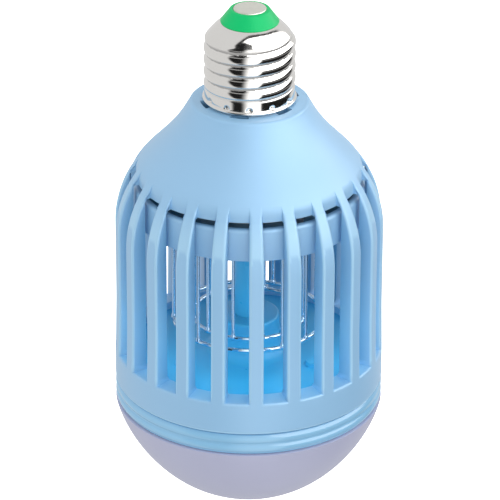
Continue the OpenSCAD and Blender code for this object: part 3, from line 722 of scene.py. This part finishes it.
def material(name, colour, roughness, metallic=0.0, grain=0.0, grain_size=0.4, vary=0.03, vary_size=9.0,
             rough_vary=0.06, edge=None, shade=None, **values):
    """Procedural finish, with any other inputs of the shader as values.

    grain is the height of a fine moulded or plated texture, as a bump, and vary is how far the colour
    drifts over vary_size millimetres. edge and shade are colours that take over where the mesh is marked
    with the attribute of that name: edge paints highlight onto rounded edges and paints shade, with grime,
    into creases, and shade paints shade into hollows.
    """
    made = bpy.data.materials.new(name)
    made.use_nodes = True
    nodes, links = made.node_tree.nodes, made.node_tree.links
    shader = nodes["Principled BSDF"]
    shader.inputs["Metallic"].default_value = metallic
    for key, value in values.items():
        shader.inputs[key.replace("_", " ").title().replace("Ior", "IOR")].default_value = value
    place = nodes.new("ShaderNodeTexCoord")

    def noise(size, detail):
        node = nodes.new("ShaderNodeTexNoise")
        node.inputs["Scale"].default_value = 1 / (size * MM)
        node.inputs["Detail"].default_value = detail
        links.new(place.outputs["Object"], node.inputs["Vector"])
        return node.outputs["Fac"]

    mix = nodes.new("ShaderNodeMix")
    mix.data_type = "RGBA"
    mix.inputs["A"].default_value = (*[c * (1 - vary) for c in colour], 1)
    mix.inputs["B"].default_value = (*[min(1, c * (1 + vary)) for c in colour], 1)
    links.new(noise(vary_size, 3), mix.inputs["Factor"])
    tint = mix.outputs["Result"]
    # the edge and shade marks paint highlight and shade into the colour
    for attribute, marked in (("edge", edge), ("shade", shade)):
        if marked:
            mark = nodes.new("ShaderNodeAttribute")
            mark.attribute_name = attribute
            blend = nodes.new("ShaderNodeMix")
            blend.data_type = "RGBA"
            blend.inputs["B"].default_value = (*marked, 1)
            links.new(tint, blend.inputs["A"])
            links.new(mark.outputs["Fac"], blend.inputs["Factor"])
            tint = blend.outputs["Result"]
    links.new(tint, shader.inputs["Base Color"])
    if edge and metallic:
        # where the edge mark lies, painted shade with grime in the thread's creases, the metal turns dull
        dull = nodes.new("ShaderNodeMapRange")
        dull.inputs["To Min"].default_value = metallic
        dull.inputs["To Max"].default_value = 0.1
        film = nodes.new("ShaderNodeAttribute")
        film.attribute_name = "edge"
        links.new(film.outputs["Fac"], dull.inputs["Value"])
        links.new(dull.outputs["Result"], shader.inputs["Metallic"])
    span = nodes.new("ShaderNodeMapRange")
    span.inputs["To Min"].default_value = max(0.0, roughness - rough_vary)
    span.inputs["To Max"].default_value = roughness + rough_vary
    links.new(noise(vary_size * 0.45, 4), span.inputs["Value"])
    links.new(span.outputs["Result"], shader.inputs["Roughness"])
    if grain:
        bump = nodes.new("ShaderNodeBump")
        bump.inputs["Strength"].default_value = 1.0
        bump.inputs["Distance"].default_value = grain * MM
        links.new(noise(grain_size, 5), bump.inputs["Height"])
        links.new(bump.outputs["Normal"], shader.inputs["Normal"])
    return made


def srgb(r, g, b):
    """Linear colour of an 8-bit sRGB colour."""
    return tuple((c / 255 / 12.92) if c <= 10 else ((c / 255 + 0.055) / 1.055) ** 2.4 for c in (r, g, b))


FINISHES = {
    # nickel_plate's edge colour is painted shade, with grime, under the thread's crests
    "nickel_plate": dict(colour=(0.80, 0.785, 0.76), roughness=0.09, metallic=1.0, vary=0.03,
                         rough_vary=0.03, grain=0.002, grain_size=2.5, edge=(0.42, 0.41, 0.40)),
    "green_insulator": dict(colour=(0.001, 0.58, 0.17), roughness=0.34, grain=0.006, grain_size=0.9,
                            specular_ior_level=0.2),
    "contact_metal": dict(colour=(0.66, 0.66, 0.60), roughness=0.42, metallic=0.75, vary=0.06,
                          vary_size=2.5, grain=0.02, grain_size=0.5),
    # blue_housing: edge is a painted highlight on the ribs' rounded edges and the lip, shade is painted
    # shade
    "blue_housing": dict(colour=srgb(139, 191, 230), roughness=0.50, specular_ior_level=1.0,
                         grain=0.012, grain_size=0.28, vary=0.02, vary_size=22.0,
                         edge=srgb(158, 208, 240), shade=srgb(24, 118, 162), coat_weight=0.75,
                         coat_roughness=0.45),
    # blue_inner is the blue plastic painted deeper and more saturated, for light bounced between the
    # chamber's walls
    "blue_inner": dict(colour=srgb(76, 181, 228), roughness=0.30, grain=0.008, grain_size=0.35,
                       vary=0.05, vary_size=12.0),
    "blue_collar": dict(colour=srgb(144, 197, 232), roughness=0.14, grain=0.003, grain_size=0.8,
                        vary=0.02, vary_size=18.0, coat_weight=0.35, coat_roughness=0.05),
    "frosted_dome": dict(colour=srgb(184, 187, 214), roughness=0.38, grain=0.01, grain_size=0.22,
                         vary=0.03, vary_size=16.0),
    "grid_wire": dict(colour=(0.62, 0.78, 0.90), roughness=0.07, metallic=1.0, vary=0.05,
                      vary_size=1.5, grain=0.004, grain_size=0.5),
    "screw_steel": dict(colour=(0.60, 0.60, 0.60), roughness=0.34, metallic=1.0, vary=0.06,
                        vary_size=1.2, grain=0.01, grain_size=0.3),
    "white_insulator": dict(colour=(0.80, 0.80, 0.76), roughness=0.55, grain=0.012, grain_size=0.3),
    "white_board": dict(colour=(0.84, 0.85, 0.83), roughness=0.40, grain=0.006, grain_size=0.25),
    "green_board": dict(colour=(0.02, 0.16, 0.06), roughness=0.36, vary=0.15, vary_size=1.4,
                        grain=0.01, grain_size=0.3),
    "uv_lamp": dict(colour=(0.62, 0.52, 0.92), roughness=0.20, vary=0.10, vary_size=1.2, grain=0.004,
                    grain_size=0.3),
    "white_lamp": dict(colour=(0.92, 0.76, 0.22), roughness=0.35, vary=0.12, vary_size=0.8,
                       grain=0.01, grain_size=0.15),
    "transformer_tape": dict(colour=(0.78, 0.55, 0.06), roughness=0.28, vary=0.12, vary_size=2.0,
                             grain=0.02, grain_size=0.8),
    "capacitor_sleeve": dict(colour=(0.02, 0.022, 0.035), roughness=0.25, vary=0.2, vary_size=2.0,
                             grain=0.01, grain_size=0.6),
    "film_red": dict(colour=(0.42, 0.03, 0.015), roughness=0.22, vary=0.15, vary_size=1.5, grain=0.02,
                     grain_size=0.7),
    "black_epoxy": dict(colour=(0.018, 0.018, 0.019), roughness=0.55, vary=0.2, vary_size=0.8,
                        grain=0.02, grain_size=0.2),
    "resistor_sleeve": dict(colour=(0.04, 0.22, 0.09), roughness=0.35, vary=0.15, vary_size=1.2,
                            grain=0.015, grain_size=0.4),
    "red_lead": dict(colour=(0.50, 0.015, 0.012), roughness=0.40, vary=0.1, vary_size=2.0, grain=0.01,
                     grain_size=0.4),
    "black_lead": dict(colour=(0.02, 0.02, 0.02), roughness=0.42, vary=0.15, vary_size=2.0,
                       grain=0.01, grain_size=0.4),
    "white_lead": dict(colour=(0.76, 0.76, 0.73), roughness=0.42, vary=0.05, vary_size=2.0,
                       grain=0.01, grain_size=0.4),
    "heat_sink_metal": dict(colour=(0.70, 0.71, 0.72), roughness=0.32, metallic=1.0, vary=0.04,
                            vary_size=4.0, grain=0.01, grain_size=0.3),
}


def paint(pieces):
    """Every visible piece gets the finish of its material slot."""
    made = {slot: material(slot, **values) for slot, values in FINISHES.items()}
    for node, obj in [*frame["nodes"].items(), *pieces.items()]:
        obj.data.materials.clear()
        obj.data.materials.append(made[SLOTS[node]])


def paint_edge_highlights(piece):
    """Paints highlight onto the housing's rounded edges: those of the ribs, fading out at their tops, and
    the lip.
    """
    mesh = piece.data
    values = [0.0] * len(mesh.vertices)
    least, most = math.cos(math.radians(80)), 0.97
    for face in mesh.polygons:
        centre = face.center
        on_ribs = SLOT_BOTTOM_Z + 0.8 < centre.z / MM < VENT_Z + 5
        on_lip = centre.z / MM < BODY_END_Z + 1
        outward = Vector((centre.x, centre.y, 0))
        outside = outward.length / MM > SLOT_INNER_R + 1
        if (on_ribs or on_lip) and outside and least < face.normal.dot(outward.normalized()) < most:
            for v in face.vertices:
                values[v] = 1 - ramp(mesh.vertices[v].co.z / MM, VENT_Z - 9, VENT_Z + 4)
    mesh.attributes["edge"].data.foreach_set("value", values)


def shade_hollows(piece, spots):
    """Paints shade onto the faces' corners that lie in spots of (z_low, z_high, r_limit, strength, whole).

    A spot reaches from the axis out to r_limit between its two heights. With whole set, it takes only the
    faces that lie in it with every corner.
    """
    mesh = piece.data
    values = [0.0] * len(mesh.loops)
    for face in mesh.polygons:
        places = [mesh.vertices[v].co / MM for v in face.vertices]
        for z_low, z_high, r_limit, strength, whole in spots:
            inside = [math.hypot(co.x, co.y) < r_limit and z_low < co.z < z_high for co in places]
            for corner, within in zip(face.loop_indices, inside):
                if within and (all(inside) or not whole):
                    values[corner] = strength
    mesh.attributes.new("shade", "FLOAT", "CORNER").data.foreach_set("value", values)


pieces = {
    "grille_housing": grille_housing(),
    "screw_shell": screw_shell(),
    "cap_insulator": cap_insulator(),
    "centre_contact": centre_contact(),
    "grid_carrier": grid_carrier(),
    "outer_grid": wire_cage("outer_grid_cage", "outer_grid", wires=16, phase=26, ring_z=-70.2),
    "inner_grid": wire_cage("inner_grid_cage", "inner_grid", wires=12, phase=-16, ring_z=-69.4),
    "wire_tube": wire_tube(),
    "chamber_floor": chamber_floor(),
    "lamp_collar": lamp_collar(),
    "diffuser_dome": diffuser_dome(),
}
paint_edge_highlights(pieces["grille_housing"])
# painted shade in the neck's notches, on the inner edges of the ribs and inside the band
shade_hollows(pieces["grille_housing"], [
    (VENT_Z + 4, NECK_TOP_Z - 0.5, NOTCH_OUTER_R + 0.05, 1.0, False),
    (SLOT_BOTTOM_Z + 0.1, VENT_Z - 0.5, RIB_INNER_R + 0.05, 0.4, False)])
shade_hollows(pieces["grid_carrier"], [(BAND_BOTTOM_Z - 1, PLATE_TOP_Z + 0.1, BAND_BORE_R + 0.1, 1.0, True)])
paint(pieces)


# ---- Camera and light, in metres ----

CAMERA_PLACE = (0, -0.9958, 0.4516)
CAMERA_DOWN = 26.68
CAMERA_ROLL = 0.2
LENS = 275.85
SENSOR = 36
WHITE = (1, 1, 1)
BLACK = (0, 0, 0)
TENT_CENTRE = Vector((0, 0, 0.01))
TENT_R = 0.6
BACKDROP_R = 8.0


def camera():
    """Looks down at the front of the bulb through a long lens."""
    data = bpy.data.cameras.new("camera")
    data.sensor_width = SENSOR
    data.lens = LENS
    data.clip_end = 50
    data.shift_x = 0.002
    obj = bpy.data.objects.new("camera", data)
    tilt = Matrix.Rotation(math.radians(90 - CAMERA_DOWN), 4, "X")
    roll = Matrix.Rotation(math.radians(CAMERA_ROLL), 4, "Z")
    obj.matrix_world = Matrix.Translation(CAMERA_PLACE) @ tilt @ roll
    bpy.context.scene.collection.objects.link(obj)
    bpy.context.scene.camera = obj


def emitter(name, base):
    """A matte surface of the base colour that also gives off white light."""
    made = bpy.data.materials.new(name)
    made.use_nodes = True
    shader = made.node_tree.nodes["Principled BSDF"]
    shader.inputs["Base Color"].default_value = (*base, 1)
    shader.inputs["Roughness"].default_value = 0.9
    shader.inputs["Specular IOR Level"].default_value = 0.0
    shader.inputs["Emission Color"].default_value = (*WHITE, 1)
    shader.inputs["Emission Strength"].default_value = 1.0
    return made


def sphere_patch(name, azimuths, elevations, distance, centre, steps):
    """A patch of a sphere, given by angles from the front towards +X and angles above the horizon."""
    bm = bmesh.new()
    rows = []
    for i in range(steps + 1):
        elevation = math.radians(elevations[0] + (elevations[1] - elevations[0]) * i / steps)
        row = []
        for j in range(steps + 1):
            azimuth = math.radians(azimuths[0] + (azimuths[1] - azimuths[0]) * j / steps)
            flat = math.cos(elevation)
            way = Vector((flat * math.sin(azimuth), -flat * math.cos(azimuth), math.sin(elevation)))
            row.append(bm.verts.new(Vector(centre) + way * distance))
        rows.append(row)
    for a, b in zip(rows, rows[1:]):
        for j in range(steps):
            bm.faces.new((a[j], a[j + 1], b[j + 1], b[j]))
    mesh = bpy.data.meshes.new(name)
    bm.to_mesh(mesh)
    bm.free()
    obj = bpy.data.objects.new(name, mesh)
    bpy.context.scene.collection.objects.link(obj)
    obj.visible_diffuse = False
    obj.visible_shadow = False
    obj.visible_transmission = False
    return obj


# Brightness of the tent, and the softbox's upper and lower edges as (azimuth, elevation)
TENT_LIGHT = 0.78
SCREEN_LIGHT = 0.012
STRIP_LIGHT = 1.5
BOX_LIGHT = 4.2
BOX_TOP = [(-68, 22), (-56, 38), (-46, 50), (-34, 59), (-20, 65), (-6, 69), (24, 70), (60, 66), (84, 57),
           (106, 45), (122, 31), (135, 16), (140, 8)]
BOX_FOOT = [(-46, 50), (-34, 58), (-20, 60), (8, 57), (20, 45), (30, 0), (60, -2), (83, 0), (97, 6),
            (110, 8), (140, 8)]
BOX_LEFT = -46
BOX_RIGHT = 136


def tent_light(azimuth, elevation):
    """Brightness of the studio seen from the cap.

    A pale tent, a softbox high on the right in a black frame, a bright strip below the camera and black
    screens on either side of the strip.
    """
    # the left screen's outer edge leans
    left = -44 - 0.27 * (elevation + 24)
    top, foot = curve(BOX_TOP, azimuth), curve(BOX_FOOT, azimuth)
    screen = window(azimuth, left - 5, left + 5, 116, 130) * window(elevation, -68, -60, top + 4, top + 8)
    dark = SCREEN_LIGHT
    if azimuth < 10:
        # slits in the left screen, and its paler foot
        dark += 0.5 * (window(elevation, -46, -43, -40, -37) + window(elevation, 24, 27, 31, 34))
        dark += 0.06 * (1 - ramp(elevation, -56, -48))
    else:
        # a grey edge under the softbox
        dark += 0.22 * window(elevation, -23, -19, -12, -9)
    light = TENT_LIGHT + (dark - TENT_LIGHT) * screen
    strip = window(azimuth, -22, 2, 27, 31) * window(elevation, -68, -60, 46, 58)
    light += (STRIP_LIGHT - light) * strip
    if BOX_LEFT < azimuth < BOX_RIGHT and foot < elevation < top:
        edge = min(ramp(elevation, foot, foot + 3), 1 - ramp(elevation, top - 3, top))
        side = window(azimuth, BOX_LEFT, BOX_LEFT + 8, BOX_RIGHT - 6, BOX_RIGHT)
        light += (BOX_LIGHT - light) * edge * side
    return light


def tent():
    """The surroundings that only reflections see."""
    obj = sphere_patch("tent", (-180, 180), (-90, 90), TENT_R, TENT_CENTRE, 180)
    obj.visible_camera = False
    glow = obj.data.attributes.new("glow", "FLOAT", "POINT")
    lights = []
    for v in obj.data.vertices:
        way = (v.co - TENT_CENTRE).normalized()
        lights.append(tent_light(math.degrees(math.atan2(way.x, -way.y)), math.degrees(math.asin(way.z))))
    glow.data.foreach_set("value", lights)
    made = emitter("tent_light", BLACK)
    mark = made.node_tree.nodes.new("ShaderNodeAttribute")
    mark.attribute_name = "glow"
    shader = made.node_tree.nodes["Principled BSDF"]
    made.node_tree.links.new(mark.outputs["Fac"], shader.inputs["Emission Strength"])
    obj.data.materials.append(made)


def area_light(name, place, target, size, power):
    """A square light of a size in metres and a power in watts, which reflections don't show."""
    data = bpy.data.lights.new(name, "AREA")
    data.shape = "SQUARE"
    data.size = size
    data.energy = power
    obj = bpy.data.objects.new(name, data)
    aim = (Vector(target) - Vector(place)).to_track_quat("-Z", "Y")
    obj.matrix_world = Matrix.Translation(place) @ aim.to_matrix().to_4x4()
    obj.visible_glossy = False
    bpy.context.scene.collection.objects.link(obj)


def surroundings():
    """World light, brighter from above than from below, and plain white to the camera."""
    world = bpy.data.worlds.new("studio")
    world.use_nodes = True
    nodes, links = world.node_tree.nodes, world.node_tree.links
    nodes["Background"].inputs["Color"].default_value = (*WHITE, 1)
    direction = nodes.new("ShaderNodeTexCoord")
    split = nodes.new("ShaderNodeSeparateXYZ")
    grade = nodes.new("ShaderNodeMapRange")
    grade.inputs["From Min"].default_value = -1
    grade.inputs["To Min"].default_value = 0.62
    grade.inputs["To Max"].default_value = 0.92
    seen = nodes.new("ShaderNodeLightPath")
    choice = nodes.new("ShaderNodeMix")
    choice.inputs["B"].default_value = 1.0
    links.new(direction.outputs["Generated"], split.inputs["Vector"])
    links.new(split.outputs["Z"], grade.inputs["Value"])
    links.new(grade.outputs["Result"], choice.inputs["A"])
    links.new(seen.outputs["Is Camera Ray"], choice.inputs["Factor"])
    links.new(choice.outputs["Result"], nodes["Background"].inputs["Strength"])
    bpy.context.scene.world = world


def chamber_glow():
    """Small blue lights just inside the front ribs, for the light that the blue floor passes on."""
    for angle in (-66, -22, 22, 66):
        data = bpy.data.lights.new("chamber_glow", "POINT")
        data.energy = 0.003
        data.shadow_soft_size = 0.006
        data.color = (0.35, 0.92, 1.0)
        obj = bpy.data.objects.new("chamber_glow", data)
        obj.location = polar(27.5, -68, angle)
        obj.visible_camera = False
        obj.visible_glossy = False
        bpy.context.scene.collection.objects.link(obj)


def studio():
    """White surroundings, large soft lights, and a tent that shapes the reflections."""
    backdrop = sphere_patch("backdrop", (0, 360), (-90, 90), BACKDROP_R, (0, 0, 0), 48)
    backdrop.visible_glossy = False
    backdrop.data.materials.append(emitter("backdrop_white", WHITE))

    surroundings()
    centre = (0, 0, -0.05)
    area_light("key", (1.5, -0.9, 0.5), centre, 1.0, 3.5)
    area_light("front", (-0.2, -1.9, 0.9), centre, 0.8, 6)
    chamber_glow()
    tent()
    bpy.context.scene.view_settings.view_transform = "Standard"


camera()
studio()
